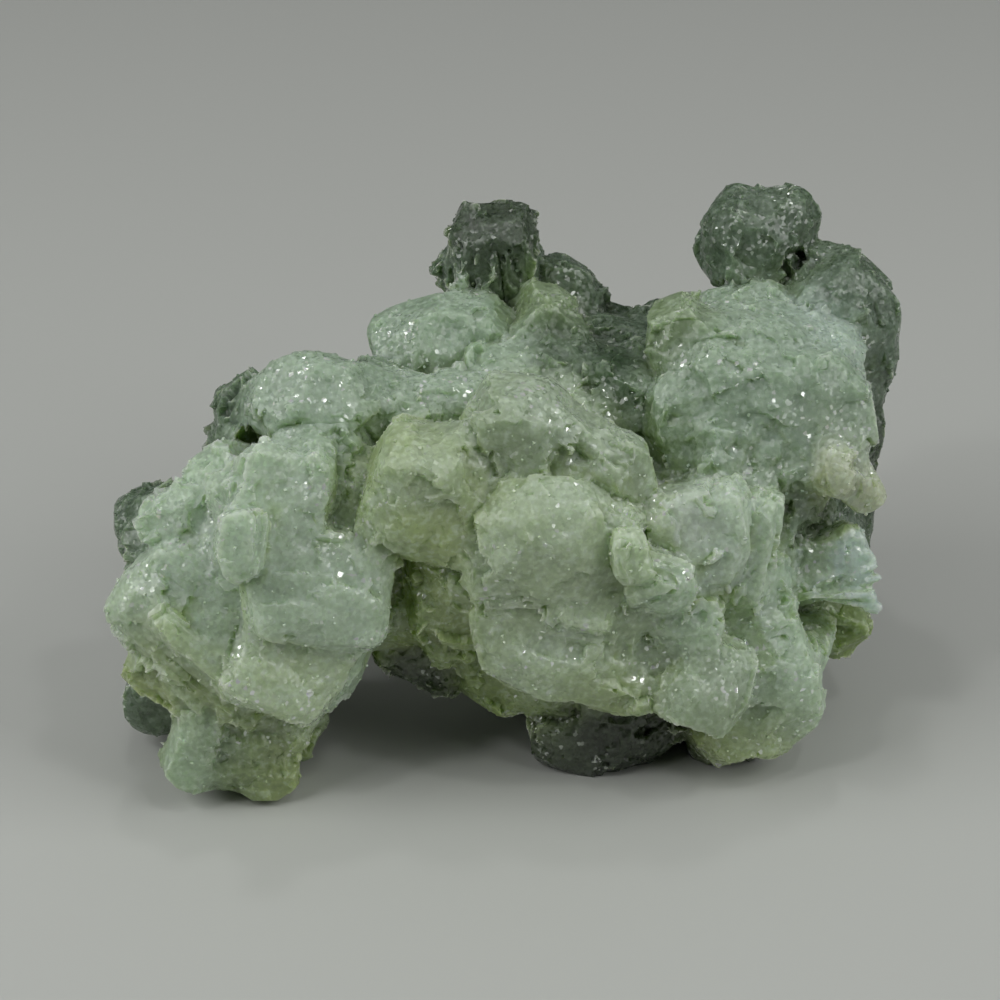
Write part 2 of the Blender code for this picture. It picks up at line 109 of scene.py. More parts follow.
LEFT_FOOT = (
    Lump("foot middle", (-22.6, -10.2, 4.4), (4.9, 4.2, 4.6), (-8, 6, 0), 2.5, 2.0),
    Lump("foot prism", (-25.2, -12.2, 6.8), (2.2, 2.2, 4.4), (-14, 10, -10), 4.2, 1.6),
    Lump("foot glitter", (-27.4, -11.0, 4.8), (1.4, 1.8, 2.5), (-10, 16, 0), 3.6, 1.4),
    Lump("foot front right", (-20.2, -11.0, 2.8), (2.9, 2.8, 3.0), (0, -24, 0), 2.6, 2.0),
    Lump("foot upper right", (-18.6, -10.2, 6.4), (3.0, 3.0, 3.0), (-10, -24, 0), 2.8, 2.0),
    Lump("foot clear chip", (-17.0, -6.6, 3.4), (1.7, 2.4, 2.2), (0, 30, 0), 4.0, 1.6),
    Lump("foot rear", (-24.6, 2.0, 4.6), (4.6, 4.6, 5.4), (0, 0, 20), 2.6, 2.6),
)

RIDGE = (
    Lump("ridge dome", (-14.8, 1.6, 31.2), (5.6, 4.8, 4.0), (-8, 6, 0), 2.3),
    Lump("ridge shoulder", (-18.8, 1.2, 30.8), (2.6, 3.2, 3.0), (0, -24, 0), 2.5),
    Lump("ridge neck", (-7.6, 3.0, 28.8), (5.8, 4.6, 4.0), (-5, 14, 0), 2.6),
    Lump("ridge slope", (-14.8, -2.2, 27.6), (4.6, 4.0, 4.2), (-15, 0, 0), 2.6),
    Lump("ridge block", (-15.0, -5.4, 30.6), (1.9, 1.6, 1.5), (-24, 10, 18), 5.0, 1.4),
    Lump("ridge hollow side", (-12.2, -4.0, 23.8), (4.4, 4.4, 5.4), (-10, 0, 0), 2.8),
    Lump("ridge barrel", (-21.8, 4.8, 26.8), (2.5, 3.4, 4.2), (0, 14, 0), 3.0, 1.8),
    Lump("ridge nub", (-3.6, 4.0, 29.6), (3.4, 3.6, 3.0), (-5, 0, 0), 2.6),
    Lump("ridge rear", (-13.0, 6.4, 26.8), (6.6, 4.6, 5.6), (20, 6, 0), 2.6, 2.8),
)

CENTRE = (
    Lump("centre heart", (2.5, 2.0, 20.0), (9, 10, 12)),
    Lump("centre left knob", (-5.7, -6.2, 27.8), (5.4, 4.8, 5.4), (-14, 22, 8), 2.9),
    Lump("centre left rim", (-9.0, -8.0, 26.4), (2.6, 2.5, 3.2), (-14, 22, 0), 3.6),
    Lump("centre left brow", (-6.4, -8.8, 30.0), (3.4, 2.5, 2.2), (-24, -8, 0), 3.8),
    Lump("centre left crown", (-5.0, -6.0, 31.0), (3.4, 3.2, 2.5), (-10, -6, 0), 2.6),
    Lump("centre left chin", (-4.8, -8.0, 24.8), (3.8, 3.6, 3.0), (-10, 8, 0), 2.7),
    Lump("centre top knob", (2.0, -3.2, 31.2), (5.0, 5.0, 4.4), (-8, 18, 0), 2.8),
    Lump("centre top right", (8.2, -4.2, 28.4), (4.4, 4.2, 4.0), (-14, 36, 0), 3.0),
    Lump("centre front knob", (3.6, -8.2, 24.2), (6.3, 5.0, 5.7), (-14, 0, 0), 2.6),
    Lump("centre front shoulder", (8.2, -8.8, 24.8), (3.2, 2.9, 3.5), (-10, 24, 0), 3.6),
    Lump("centre front left", (-0.4, -10.2, 22.2), (2.7, 2.4, 3.1), (-14, -16, 0), 3.6),
    Lump("centre low knob", (5.8, -8.6, 15.0), (6.6, 4.8, 6.0), (-14, 10, 0), 2.8),
    Lump("centre low left", (1.0, -10.6, 16.0), (3.0, 2.6, 3.6), (-14, -12, 0), 3.4),
    Lump("centre low crown", (6.6, -11.2, 19.0), (3.4, 2.2, 2.2), (-24, 12, 0), 3.6),
    Lump("centre low lip", (9.4, -9.8, 11.2), (4.4, 3.6, 3.0), (0, 16, 0), 3.0),
    Lump("centre side slope", (10.4, -7.6, 19.6), (4.6, 4.6, 5.2), (-10, 10, 0), 2.5),
    Lump("centre pillar", (10.8, -12.2, 24.9), (1.5, 1.5, 2.4), (-28, -10, 0), 2.8, 1.2),
    Lump("centre under left", (-2.6, -5.2, 18.4), (5.6, 5.4, 6.4), (0, 0, 0), 2.6),
)

BRIDGE = (
    Lump("bridge body", (-9.0, -2.6, 16.4), (7.4, 5.6, 6.2), (-8, 6, 0), 2.6, 2.0),
    Lump("bridge upper knob", (-4.4, -8.0, 17.2), (3.1, 2.8, 3.0), (-10, 0, 0), 2.6, 1.8),
    Lump("bridge lower knob", (-4.4, -7.2, 13.4), (2.8, 2.8, 2.4), (0, 0, 0), 2.6, 1.8),
    Lump("bridge dark knob", (-7.6, -3.8, 10.0), (3.6, 3.2, 3.0), (0, 12, 0), 2.8, 1.6),
    Lump("bridge hanging knob", (-4.6, -4.6, 8.2), (2.6, 2.6, 2.8), (0, 0, 0), 2.8, 1.6),
    Lump("bridge low right", (-0.6, -5.6, 10.2), (4.0, 3.8, 4.4), (0, -20, 0), 2.6, 1.8),
    Lump("bridge tooth", (-0.4, -7.2, 8.2), (1.8, 1.8, 2.8), (0, -14, 0), 3.4, 1.4),
    Lump("bridge low lip", (3.4, -7.0, 8.6), (3.2, 3.0, 3.0), (0, 24, 0), 2.8, 1.6),
)

RIGHT_LOW = (
    Lump("right column", (15.6, -6.4, 23.0), (4.0, 3.8, 4.6), (-16, 0, 6), 4.0),
    Lump("right column rib", (18.6, -6.8, 23.6), (1.9, 3.2, 4.8), (-16, 6, 0), 3.2),
    Lump("right column edge", (21.4, -5.2, 21.4), (1.5, 3.0, 5.6), (-14, 8, 0), 5.0),
    Lump("right glitter knob", (13.4, -10.8, 21.2), (2.8, 2.6, 2.6), (-10, 12, 0), 2.8, 1.4),
    Lump("right middle knob", (15.4, -9.4, 16.4), (3.2, 2.9, 2.9), (-10, 0, 0), 2.6, 1.6),
    Lump("right slope", (19.6, -3.6, 15.4), (5.4, 5.0, 6.2), (0, 10, 0), 2.6),
    Lump("right low knob", (22.6, -6.6, 8.6), (5.2, 4.8, 6.0), (-5, -14, 0), 2.6),
    Lump("right low crown", (22.8, -6.6, 13.6), (3.0, 2.8, 3.0), (-10, 0, 0), 2.8, 1.8),
    Lump("right low plate", (17.2, -11.4, 11.6), (3.9, 2.7, 4.2), (-22, 30, 10), 3.2, 1.8),
    Lump("right low chin", (21.0, -8.2, 4.8), (4.8, 3.8, 3.2), (0, -12, 0), 2.6),
    Lump("right pale tip", (26.4, -2.6, 9.2), (2.3, 2.8, 3.0), (0, 24, 0), 3.4, 1.6),
    Lump("right inner chip", (15.4, -5.8, 5.0), (2.4, 2.8, 2.8), (0, 0, 0), 2.8, 1.6),
    Lump("right low link", (13.0, -9.0, 12.3), (3.0, 2.8, 3.6), (0, 0, 0), 2.8, 1.6),
)

RIGHT_HIGH = (
    Lump("face block", (22.4, 3.4, 28.4), (7.6, 5.2, 6.8), (-26, 4, 6), 4.6),
    Lump("face left", (16.8, 2.6, 27.4), (4.2, 4.6, 5.6), (-18, -8, -10), 3.6),
    Lump("face low plate", (18.4, -1.2, 25.2), (3.2, 3.0, 2.4), (-22, 24, 0), 5.0),
    Lump("face corner", (28.6, 3.4, 29.0), (3.0, 3.8, 4.4), (-20, 0, 10), 3.6, 1.8),
    Lump("face chip left", (28.2, -1.9, 26.4), (1.5, 1.5, 2.6), (-15, 12, 0), 4.6, 1.4),
    Lump("face chip right", (30.3, -1.0, 24.4), (1.9, 1.5, 2.5), (-15, -28, 10), 4.6, 1.4),
    Lump("ridge of right side", (15.9, 7.4, 32.8), (3.1, 3.8, 4.8), (-8, -14, 0), 3.6, 1.8),
    Lump("saddle", (21.2, 11.0, 33.0), (5.2, 4.6, 3.2), (0, 0, 0), 2.8, 1.8),
    Lump("saddle patch", (22.0, 6.6, 34.4), (4.6, 3.2, 2.4), (-10, 6, 0), 3.0, 1.4),
    Lump("grey shoulder", (26.8, 8.6, 31.6), (4.4, 4.4, 3.8), (0, 20, 0), 3.0, 1.8),
    Lump("top ball", (21.6, 19.0, 37.2), (4.3, 4.3, 4.3), (0, 20, 0), 2.5, 2.6),
    Lump("top ball right", (25.0, 20.4, 38.6), (3.2, 3.4, 3.0), (0, 16, 0), 2.5, 2.4),
    Lump("grey mass", (29.2, 15.0, 32.0), (5.2, 5.8, 5.8), (0, 36, 0), 2.6, 2.4),
    Lump("grey mass low", (31.2, 13.8, 28.4), (4.0, 4.8, 4.2), (0, 12, 0), 2.6, 2.2),
    Lump("dark edge", (31.6, 12.0, 22.6), (2.6, 4.2, 4.4), (0, 6, 0), 2.8, 2.0),
    Lump("dark edge low", (30.4, 9.6, 16.8), (3.2, 4.4, 4.0), (0, 6, 0), 2.8, 2.0),
    Lump("dark recess", (26.2, 6.4, 20.4), (5.6, 4.6, 6.8), (0, 0, 0), 3.0),
    Lump("right rear low", (29.6, 6.0, 13.4), (3.4, 4.4, 4.0), (0, 10, 0), 2.8, 2.2),
)

SHEAF = (
    Lump("sheaf top", (27.6, -1.4, 18.2), (3.9, 2.4, 1.6), (-20, -12, 8), 3.0, 1.2, 0.30),
    Lump("sheaf middle", (27.8, -1.8, 16.4), (4.0, 2.4, 1.5), (-20, -18, 8), 3.4, 1.2, 0.30),
    Lump("sheaf bottom", (27.4, -1.4, 14.6), (3.9, 2.4, 1.4), (-20, -24, 8), 3.4, 1.2, 0.25),
    Lump("sheaf spur", (29.6, -2.0, 19.4), (1.3, 1.4, 1.7), (-15, 20, 0), 4.0, 1.2),
    Lump("brown chip", (29.0, 2.4, 8.4), (2.8, 3.4, 3.4), (0, 16, 0), 3.4, 1.8),
)

BACK = (
    Lump("back finger", (-0.6, 21.2, 32.6), (4.5, 4.3, 5.4), (0, -4, 0), 2.8, 2.2),
    Lump("back finger rim", (-0.2, 21.2, 37.3), (3.9, 3.6, 1.5), (0, 2, 0), 3.2, 1.6),
    Lump("back finger low", (-0.6, 18.6, 27.0), (4.0, 4.6, 5.0), (0, 0, 0), 2.8, 2.2),
    Lump("back slope high", (5.6, 21.6, 30.0), (3.8, 4.0, 3.8), (0, 34, 0), 2.6, 2.2),
    Lump("back slope low", (10.6, 20.8, 26.0), (3.6, 3.8, 3.0), (0, 26, 0), 2.6, 2.2),
    Lump("spangled knob", (-6.4, 13.0, 30.0), (4.8, 4.4, 4.0), (-10, -16, 0), 2.6, 2.4),
    Lump("spangled knob right", (-3.0, 13.6, 31.0), (3.6, 3.6, 3.4), (0, 0, 0), 2.6, 2.2),
    Lump("pale wedge", (3.8, 14.0, 31.4), (3.0, 3.4, 3.4), (-10, 35, 0), 4.0, 1.8),
    Lump("pale link", (0.6, 9.0, 29.8), (3.6, 3.8, 3.0), (0, 0, 0), 2.6),
    Lump("dark hollow mass", (9.6, 7.4, 27.4), (5.8, 5.6, 5.0), (-10, 12, 0), 2.6, 2.4),
    Lump("dark hollow crown", (5.6, 9.4, 30.6), (3.4, 3.6, 2.6), (0, 10, 0), 2.8, 2.0),
    Lump("dark hollow right", (13.0, 10.0, 27.6), (4.2, 4.4, 4.2), (0, 20, 0), 2.8, 2.4),
)

REAR = (
    Lump("right heart", (19.0, 4.0, 17.0), (10.0, 9.0, 13.0)),
    Lump("rear heart", (9.0, 14.0, 22.0), (10.0, 9.0, 9.0), crystal=2.8),
    Lump("rear right heart", (24.0, 12.0, 22.0), (9.0, 9.0, 12.0), crystal=2.8),
    Lump("rear low knob", (14.0, 20.0, 18.0), (5.6, 5.0, 5.6), (10, 0, 0), 2.6, 2.8),
    Lump("rear left knob", (3.0, 20.0, 21.0), (5.0, 5.0, 5.0), (10, 0, 0), 2.6, 2.8),
    Lump("rear face knob", (21.5, 20.5, 23.0), (5.4, 5.0, 6.0), (10, 10, 0), 2.8, 2.8),
    Lump("rear right knob", (28.0, 18.0, 21.0), (4.8, 5.0, 5.6), (0, 0, 0), 2.8, 2.6),
    Lump("rear high knob", (14.5, 18.0, 26.4), (4.8, 4.6, 4.0), (0, 0, 0), 2.8, 2.6),
    Lump("under heart", (17.0, 6.5, 8.6), (11.0, 8.5, 6.6), (4, 4, 0), 2.6, 2.6),
    Lump("under rear knob", (18.0, 15.0, 9.6), (5.6, 4.4, 6.2), (10, 0, 0), 2.5, 2.6),
    Lump("rear foot", (12.0, 15.4, 6.0), (5.6, 5.0, 7.4), (8, 6, 0), 2.6, 2.6),
    Lump("rear foot knob", (8.0, 17.6, 12.0), (4.6, 4.2, 5.0), (0, 0, 0), 2.6, 2.4),
    Lump("rear right foot", (24.4, 10.6, 5.6), (5.2, 5.0, 6.6), (0, -10, 0), 2.6, 2.4),
    Lump("rear right foot knob", (28.0, 12.2, 12.0), (4.4, 4.6, 5.2), (0, 0, 0), 2.6, 2.4),
)

MIDDLE_FEET = (
    Lump("middle foot", (8.4, -5.6, 3.6), (6.0, 4.6, 5.2), (0, -4, 0), 2.8, 1.8),
    Lump("middle foot side", (12.4, -5.0, 4.0), (3.2, 3.6, 3.8), (0, 0, 0), 2.8, 1.6),
    Lump("right foot", (20.0, -5.4, 2.2), (3.9, 3.6, 3.2), (0, 0, 0), 2.6, 1.8),
)

GROUPS = (
    ("mint", LEFT_LOBE), ("moss", LEFT_FOOT), ("jade", RIDGE), ("lime", CENTRE), ("olive", BRIDGE),
    ("mint", RIGHT_LOW), ("jade", RIGHT_HIGH), ("striped", SHEAF), ("slate", BACK), ("slate", REAR),
    ("ink", MIDDLE_FEET),
)

# Lumps whose look differs from the rest of their group, by tone
LUMPS_OF_TONE = {
    "plate": ("lobe top plate", "lobe top shoulder", "lobe right fan", "lobe left plate", "lobe face",
        "lobe barrel", "right column rib", "right column edge"),
    "cream": ("lobe lower fan", "lobe diagonal ledge"),
    "chalk": ("right column",),
    "mint": ("foot prism",),
    "jade": ("saddle patch", "spangled knob", "spangled knob right", "pale link"),
    "sage": ("centre top knob", "centre top right", "centre left crown", "right low plate",
        "right low link"),
    "lime": ("ridge hollow side",),
    "citron": ("centre left knob", "centre left chin", "centre low lip", "lobe under ledge"),
    "honey": ("lobe lower ledge", "lobe corner wedge", "foot upper right", "foot front right",
        "centre under left", "bridge body", "right low chin"),
    "moss": ("ridge of right side", "pale wedge"),
    "olive": ("brown chip",),
    "bottle": ("dark hollow mass", "dark recess"),
    "slate": ("lobe low left", "lobe rear left", "lobe rear", "lobe rear high", "foot rear",
        "ridge barrel", "ridge rear", "top ball", "top ball right", "grey mass", "grey mass low",
        "right rear low"),
    "ink": ("bridge dark knob", "bridge hanging knob", "right inner chip", "right foot", "dark edge",
        "dark edge low", "back finger rim"),
    "frosty": ("grey shoulder",),
    "beige": ("face chip left", "face chip right"),
}
OWN_TONES = {name: tone for tone, names in LUMPS_OF_TONE.items() for name in names}

# Lumps ribbed by long thin crystals, and which of the lump's own axes these follow
RIBBED = {
    "brown chip": 0, "back finger": 2, "ridge barrel": 2, "foot prism": 2,
    "rear left knob": 2, "rear face knob": 2, "ridge hollow side": 2,
}
# A rib's sides, its longest reach beside the lump, and how proud it stands beside other crystals
RIB_SHAPE = Vector((3.4, 0.42, 1.4))
RIB_REACH = 1.3
RIB_PROUD = 0.6
RIB_TILT = 5.0

# The sheaf's blades spread upward to the right from its root, in a plane that leans back: the size of
# one, their angles, the lean and the ranges of their draws, in millimetres and degrees
SHEAF_ROOT = Vector((23.8, -3.4, 15.0))
SHEAF_BLADE = Vector((8.0, 2.6, 0.5))
SHEAF_BLADES = 15
SHEAF_SPREAD = (-10.0, 46.0)
SHEAF_LEAN = -28.0
SHEAF_STRAY = 0.3
SHEAF_SIZES = (0.85, 1.15)
SHEAF_STEPS = (-0.9, 0.3)

# Each tone has its colour as sRGB, how coarse its crystals are, from 0 for sugary to 1 for blocky,
# how proud they stand, how large they are beside the lump's own crystal size, and how much of the
# facets' depth is cut into them.
Tone = namedtuple("Tone", "colour coarse proud large cut", defaults=(1.0,))
TONES = {
    "mint": Tone((0.74, 0.83, 0.72), 0.12, 0.40, 0.72),
    "jade": Tone((0.61, 0.70, 0.60), 0.12, 0.40, 0.72),
    "sage": Tone((0.64, 0.71, 0.59), 0.05, 0.24, 0.60),
    "plate": Tone((0.75, 0.83, 0.73), 0.02, 0.10, 0.90),
    "cream": Tone((0.76, 0.83, 0.67), 0.02, 0.10, 0.90),
    "chalk": Tone((0.78, 0.83, 0.77), 0.20, 0.38, 0.60),
    "lime": Tone((0.73, 0.80, 0.66), 0.05, 0.24, 0.60),
    "citron": Tone((0.67, 0.74, 0.50), 0.05, 0.24, 0.60),
    "honey": Tone((0.66, 0.72, 0.47), 0.12, 0.35, 0.70),
    "moss": Tone((0.54, 0.62, 0.45), 0.35, 0.50, 0.80),
    "olive": Tone((0.55, 0.63, 0.35), 0.20, 0.40, 0.75),
    # Bottle is the stone's deep green, and in the dark recess and the dark hollow it also stands for
    # painted shade
    "bottle": Tone((0.11, 0.27, 0.08), 0.45, 0.50, 0.75),
    "slate": Tone((0.34, 0.42, 0.33), 0.75, 0.70, 1.00),
    # Ink is dark stone on the rims and edges at the back, and on the feet and knobs under the cluster its
    # darkness is also painted shade
    "ink": Tone((0.14, 0.19, 0.10), 0.75, 0.70, 0.95),
    "frosty": Tone((0.78, 0.86, 0.82), 0.35, 0.60, 0.75),
    "striped": Tone((0.78, 0.86, 0.83), 0.25, 0.10, 0.75, 0.1),
    "beige": Tone((0.78, 0.80, 0.68), 0.02, 0.05, 1.00, 0.5),
}
# How softly one lump's tone gives way to the next, how far the border strays and how long its waves
# are, in millimetres
TONE_BLEND = 0.9
TONE_STRAY = 1.2
TONE_WAVES = 4.0

# A lump is felt this far out, beside its size and then in millimetres, and is far away beyond it
LUMP_REACH = 1.4
LUMP_MARGIN = 3.0
FAR = 30.0

# Flat facets that the skin is cut to, coarse ones first: their width in millimetres, how far they
# lean and how far they step up or down beside that width, each for sugary and for blocky stone, how
# many rounds of smoothing find the planes, and the farthest that a point moves, in millimetres.
FACETS = (
    ((2.9, 2.8), (0.13, 0.18), (0.03, 0.05), 20, 0.40),
    ((1.1, 1.5), (0.10, 0.20), (0.03, 0.05), 5, 0.15),
)
# How many planes a point looks at, how nearly they have to face its own way, and how much less the
# blockiest stone is cut
FACET_NEIGHBOURS = 6
FACET_TOWARD = 0.7
FACET_EASE = 0.4

# Rounds of smoothing once the lumps are fused, and the angle from which an edge is sharp
SOFTEN_ROUNDS = 3
SHARP_ANGLE = math.radians(34)

# The rays that feel how open a point is: their length and their start above the skin in millimetres,
# their number and seed, and the share of the skin's normal that turns them all outward
SKY_REACH = 9.0
SKY_LIFT = 0.05
SKY_RAYS = 10
SKY_SEED = 5
SKY_OUTWARD = 1.02

# The frost: a crystal's sides, how far its upper end is drawn in and how deep it is sunk, beside its
# height, its least spacing and its number on a square metre. Lengths are in millimetres.
FROST_CRYSTAL = (0.30, 0.22, 0.36)
FROST_TIP = Vector((0.72, 0.8, 1.0))
FROST_SUNK = 0.18
FROST_SPACING = 0.36
FROST_DENSITY = 3.0e6
FROST_SIZES = (0.6, 1.4)
FROST_TILT = 0.6
FROST_SEED = 31
# Its size and how much of it grows, each on sugary and on blocky stone
FROST_GROWTH = (0.8, 1.1)
FROST_COVER = (0.12, 0.01)
# How far above the resting plane it begins
FROST_CLEARANCE = 1.2

# How strongly prehnite bends light, and how many clouds, grains and small facets a metre holds
REFRACTION = 1.63
CLOUD_SCALE = 190.0
GRAIN_SCALE = 1700.0
CELL_SCALE = 3300.0

SKY_COLOUR = (0.95, 0.98, 1.0, 1.0)
# Each lamp's place and side in metres and its share of the power. The broad ones light the stone from
# above and from both sides, and the small ones make its facets glint.
LAMPS = (
    ("overhead", (-0.04, 0.10, 0.42), 0.60, 0.30),
    ("left", (-0.30, -0.10, 0.26), 0.26, 0.43),
    ("right", (0.30, -0.10, 0.26), 0.26, 0.43),
    ("spark_left", (-0.16, -0.14, 0.32), 0.03, 0.05),
    ("spark_right", (0.12, -0.10, 0.36), 0.03, 0.05),
    ("spark_back", (-0.04, 0.10, 0.38), 0.03, 0.05),
)
LAMP_AIM = Vector((0, 0, 0.018))

# What the camera looks at, in millimetres as the lumps are, its lens in millimetres, and how near it
# sees and the floor's half width in metres
CAMERA_AIM = Vector((0, 3.0, 20.4))
CAMERA_LENS = 100
CAMERA_NEAR = 0.005
FLOOR_HALF = 2.0


def linear(colour):
    """An sRGB colour as linear light."""
    return tuple(part / 12.92 if part <= 0.04045 else ((part + 0.055) / 1.055) ** 2.4 for part in colour)


def tone_of(lump, group_tone):
    """The lump's own tone, or else its group's."""
    return TONES[OWN_TONES.get(lump.name, group_tone)]


class Value:
    """A socket that adds Math nodes when it is used in an expression."""

    def __init__(self, graph, socket):
        self.graph = graph
        self.socket = socket

    def math(self, operation, first, second=0.0):
        return self.graph.value("ShaderNodeMath", {"operation": operation}, {0: first, 1: second})

    def __add__(self, other):
        return self.math("ADD", self, other)

    def __radd__(self, other):
        return self.math("ADD", other, self)

    def __sub__(self, other):
        return self.math("SUBTRACT", self, other)

    def __rsub__(self, other):
        return self.math("SUBTRACT", other, self)

    def __mul__(self, other):
        return self.math("MULTIPLY", self, other)

    def __rmul__(self, other):
        return self.math("MULTIPLY", other, self)

    def __gt__(self, other):
        return self.math("GREATER_THAN", self, other)


class Graph:
    """A node tree that is filled by calls."""

    def __init__(self, tree):
        self.tree = tree

    def node(self, kind, settings=None, inputs=None):
        """Adds a node of that kind, sets it up, then gives its sockets their values or links."""
        made = self.tree.nodes.new(kind)
        for name, setting in (settings or {}).items():
            if name == "stops":
                self.set_stops(made.color_ramp.elements, setting)
            else:
                setattr(made, name, setting)
        for name, given in (inputs or {}).items():
            if isinstance(given, Value):
                self.tree.links.new(given.socket, made.inputs[name])
            else:
                made.inputs[name].default_value = given
        return made

    def value(self, kind, settings=None, inputs=None, output=0):
        """The same, and hands back one of the node's outputs for use in an expression."""
        return Value(self, self.node(kind, settings, inputs).outputs[output])

    def set_stops(self, points, stops):
        """Gives a colour ramp its (position, grey) stops."""
        while len(points) < len(stops):
            points.new(1.0)
        for point, (position, grey) in zip(points, stops):
            point.position = position
            point.color = (grey, grey, grey, 1.0)

    def ramp(self, level, stops):
        """A colour ramp through (position, grey) stops."""
        return self.value("ShaderNodeValToRGB", {"stops": stops}, {"Fac": level}, "Color")

    def attribute(self, name, output="Fac"):
        """One of the numbers or colours that the mesh holds at its points."""
        return self.value("ShaderNodeAttribute", {"attribute_name": name}, None, output)

    def noise(self, place, scale, detail):
        """Soft noise between 0 and 1."""
        inputs = {"Vector": place, "Scale": scale, "Detail": detail}
        return self.value("ShaderNodeTexNoise", None, inputs, "Fac")

    def part(self, colour, channel):
        """One channel of a colour."""
        return self.value("ShaderNodeSeparateColor", None, {"Color": colour}, channel)

    def blend(self, share, first, second, mode="MIX"):
        """Two colours mixed by a share."""
        settings = {"data_type": "RGBA", "blend_type": mode}
        return self.value("ShaderNodeMix", settings, {0: share, 6: first, 7: second}, 2)

    def vector(self, operation, first, second=None, scale=None):
        """A vector, with a second one or a scale, through a Vector Math node."""
        given = {0: first, 1: second, "Scale": scale}
        inputs = {name: value for name, value in given.items() if value is not None}
        return self.value("ShaderNodeVectorMath", {"operation": operation}, inputs)


def turn_of(lump):
    """The lump's turn as a matrix."""
    return Euler([math.radians(angle) for angle in lump.turn]).to_matrix()


def surface_point(lump, direction, depth=0.0):
    """Where a ray from the lump's middle leaves its rounded block, in the lump's own axes."""
    reach = sum(abs(part) ** lump.square for part in direction) ** (-1 / lump.square)
    point = Vector([part * reach * (half - depth) for part, half in zip(direction, lump.half)])
    flaring = 1 + lump.flare * point.x / lump.half[0]
    return Vector((point.x, point.y * flaring, point.z * flaring))


def surface_normal(lump, point):
    """The rounded block's outward direction at a point of its surface, in its own axes."""
    slope = [
        math.copysign(abs(part / half) ** (lump.square - 1) / half, part)
        for part, half in zip(point, lump.half)
    ]
    return Vector(slope).normalized()


def spread_directions(count):
    """Directions spread evenly over a ball, along a spiral from pole to pole."""
    for step in range(count):
        height = 1 - (2 * step + 1) / count
        across = math.sqrt(1 - height * height)
        angle = step * math.pi * (3 - math.sqrt(5))
        yield Vector((across * math.cos(angle), height, across * math.sin(angle)))


def lump_ball(lump, tone):
    """A ball pulled out to a rounded block, with low waves in its surface."""
    turn = turn_of(lump)
    middle = Vector(lump.at)
    bm = bmesh.new()
    for vert in bmesh.ops.create_icosphere(bm, subdivisions=BALL_STEPS, radius=1.0)["verts"]:
        point = turn @ surface_point(lump, vert.co.normalized(), CRYSTAL_SKIN * tone.proud)
        wave = noise.noise((middle + point) / UNEVENNESS_SPACING)
        vert.co = middle + point * (1 + UNEVENNESS * wave)
    return bm


def rib_facing(outward, axis):
    """A turn that lays a crystal's long side along one axis and its top outward."""
    along = Vector([float(index == axis) for index in range(3)])
    side = outward.cross(along).normalized()
    return Matrix((side.cross(outward), side, outward)).transposed()


def lump_crystals(lump, tone):
    """Tabular crystals that stand a little proud all over a lump, roughly square to it."""
    draw = random.Random(lump.name)
    turn = turn_of(lump)
    across, back, up = lump.half
    area = 4 * math.pi * (across * back + across * up + back * up) / 3
    width = lump.crystal * tone.large
    proud = CRYSTAL_SKIN * tone.proud
    shape, tilt = CRYSTAL_SHAPE, CRYSTAL_TILT
    axis = RIBBED.get(lump.name)
    if axis is not None:
        width = min(width, lump.half[axis] / RIB_SHAPE.x * RIB_REACH)
        proud *= RIB_PROUD
        shape, tilt = RIB_SHAPE, RIB_TILT
    bm = bmesh.new()
    for direction in spread_directions(int(CRYSTAL_SPREAD * area / (width * width))):
        stray = Vector([draw.uniform(-CRYSTAL_STRAY, CRYSTAL_STRAY) for _ in range(3)])
        point = surface_point(lump, (direction + stray).normalized())
        outward = surface_normal(lump, point)
        size = shape * width * draw.uniform(*CRYSTAL_SIZES)
        seat = point - outward * (size.z / 2 + proud * draw.uniform(*CRYSTAL_SINK))
        lean = Euler([math.radians(draw.uniform(-tilt, tilt)) for _ in range(3)])
        if axis is None:
            spin = Euler((0, 0, math.radians(draw.uniform(-CRYSTAL_SPIN, CRYSTAL_SPIN)))).to_matrix()
            facing = outward.to_track_quat("Z", "Y").to_matrix() @ spin
        else:
            facing = rib_facing(outward, axis)
        middle = Matrix.Translation(Vector(lump.at) + turn @ seat)
        facing = (turn @ facing @ lean.to_matrix()).to_4x4()
        bmesh.ops.create_cube(bm, size=1.0, matrix=middle @ facing @ Matrix.Diagonal((*size, 1.0)))
    return bm


def sheaf_blades():
    """Thin blades side by side that fan out from the sheaf's root."""
    draw = random.Random("sheaf")
    low, high = SHEAF_SPREAD
    leaning = Euler((math.radians(SHEAF_LEAN), 0, 0)).to_matrix()
    bm = bmesh.new()
    for index in range(SHEAF_BLADES):
        stray = draw.uniform(-SHEAF_STRAY, SHEAF_STRAY)
        angle = low + (high - low) * (index + stray) / (SHEAF_BLADES - 1)
        size = Vector([part * draw.uniform(*SHEAF_SIZES) for part in SHEAF_BLADE])
        fan = leaning @ Euler((0, math.radians(-angle), 0)).to_matrix()
        seat = SHEAF_ROOT + fan @ Vector((size.x / 2, draw.uniform(*SHEAF_STEPS), 0))
        place = Matrix.Translation(seat) @ fan.to_4x4() @ Matrix.Diagonal((*size, 1.0))
        bmesh.ops.create_cube(bm, size=1.0, matrix=place)
    return bm


def heaped_lumps():
    """Every lump and its crystals in one mesh, still overlapping, in metres and in their final place."""
    heap = bmesh.new()
    mesh = bpy.data.meshes.new("heap")
    blades = sheaf_blades()
    blades.to_mesh(mesh)
    blades.free()
    heap.from_mesh(mesh)
    for group_tone, lumps in GROUPS:
        for lump in lumps:
            tone = tone_of(lump, group_tone)
            parts = [lump_ball(lump, tone)]
            if tone.proud > LEAST_PROUD:
                parts.append(lump_crystals(lump, tone))
            for bm in parts:
                bm.to_mesh(mesh)
                bm.free()
                heap.from_mesh(mesh)
    bmesh.ops.translate(heap, vec=CLUSTER_SHIFT, verts=heap.verts)
    bmesh.ops.scale(heap, vec=Vector((MM, MM, MM)), verts=heap.verts)
    heap.to_mesh(mesh)
    heap.free()
    return mesh


